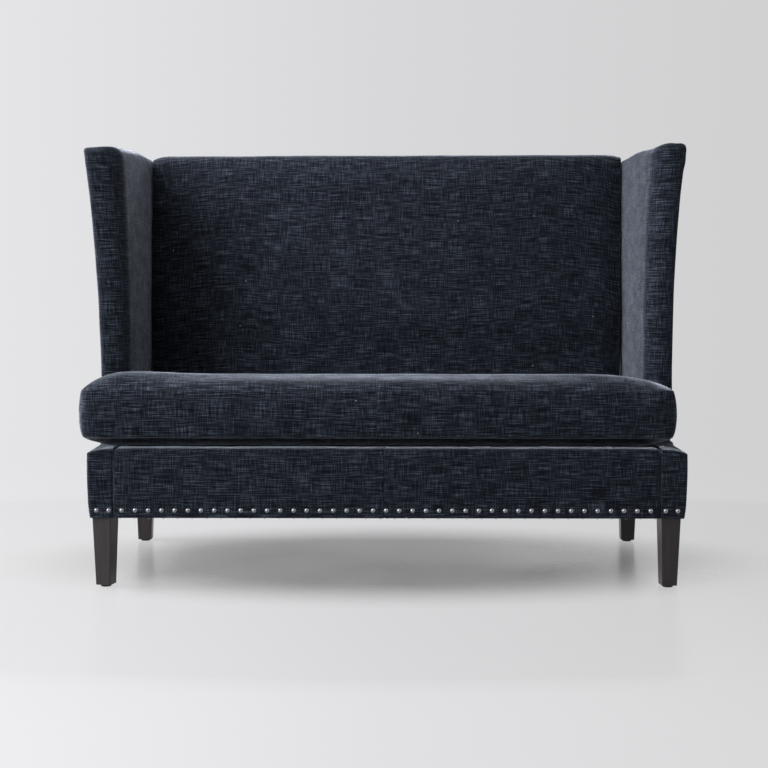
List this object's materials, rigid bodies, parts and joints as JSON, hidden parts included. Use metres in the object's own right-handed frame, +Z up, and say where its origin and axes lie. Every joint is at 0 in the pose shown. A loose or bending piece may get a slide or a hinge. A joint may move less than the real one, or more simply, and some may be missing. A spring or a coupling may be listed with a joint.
{
  "type": "high back settee",
  "caption": "Upholstered high back settee with flared wings, a loose T-shaped seat cushion, a nailed front and square tapered legs.",
  "frame": {"origin": "on the floor, below the middle of the settee's bounding box", "axes": "+X to the right seen from in front, +Y from front to back, +Z up"},
  "size_m": [1.4548, 0.7532, 1.0524],
  "materials": {
    "velvet": "slubbed navy-charcoal velvet with short brushed pile and paler horizontal slubs",
    "stained_leg": "dark brown-black stained hardwood, satin lacquer",
    "beech_frame": "planed beech, unfinished",
    "nickel_nail": "nickel-plated steel, bright domed heads",
    "zinc_steel": "zinc-plated steel",
    "spring_steel": "oil-tempered spring wire",
    "glide_plastic": "dark moulded glide",
    "dust_cloth": "black non-woven dust cloth",
    "jute": "woven jute",
    "deck_cloth": "plain dark lining cloth",
    "foam": "upholstery foam in a polyester wrap",
    "zip_tape": "woven tape with nylon coil"
  },
  "bodies": {
    "frame": {"front_seat_rail": "beech_frame", "rear_seat_rail": "beech_frame", "side_seat_rail_left": "beech_frame", "side_seat_rail_right": "beech_frame", "seat_cross_rail": "beech_frame", "corner_blocks": "beech_frame", "corner_block_screws": "zinc_steel", "back_post_left": "beech_frame", "back_post_right": "beech_frame", "back_top_rail": "beech_frame", "back_tacking_rail": "beech_frame", "back_centre_stile": "beech_frame", "wing_post_left": "beech_frame", "wing_post_right": "beech_frame", "wing_top_rail_left": "beech_frame", "wing_top_rail_right": "beech_frame", "wing_tacking_rail_left": "beech_frame", "wing_tacking_rail_right": "beech_frame", "leg_front_left": "stained_leg", "leg_front_right": "stained_leg", "leg_rear_left": "stained_leg", "leg_rear_right": "stained_leg", "leg_hanger_bolts": "zinc_steel", "leg_plates": "zinc_steel", "leg_plate_screws": "zinc_steel", "leg_glides": "glide_plastic", "seat_springs": "spring_steel", "spring_clips": "zinc_steel", "spring_hessian": "jute", "seat_deck_pad": "foam", "seat_deck_cloth": "deck_cloth", "back_webbing": "jute", "front_rail_cover": "velvet", "front_facing_left": "velvet", "front_facing_right": "velvet", "wing_inside_cover_left": "velvet", "wing_inside_cover_right": "velvet", "outside_side_cover_left": "velvet", "outside_side_cover_right": "velvet", "inside_back_cover": "velvet", "outside_back_cover": "velvet", "dust_cover": "dust_cloth", "nail_heads": "nickel_nail"},
    "seat_cushion": {"cushion_cover": "velvet", "cushion_foam_core": "foam", "cushion_zip": "zip_tape"},
    "zip_slider": {"cushion_zip_slider": "zinc_steel"}
  },
  "joints": [
    {"name": "cushion_lift", "type": "slide", "parent": "frame", "child": "seat_cushion", "axis": [0, 0, 1], "range_m": [0, 0.76]},
    {"name": "zip_run", "type": "slide", "parent": "seat_cushion", "child": "zip_slider", "axis": [1, 0, 0], "range_m": [0, 1.02]}
  ]
}
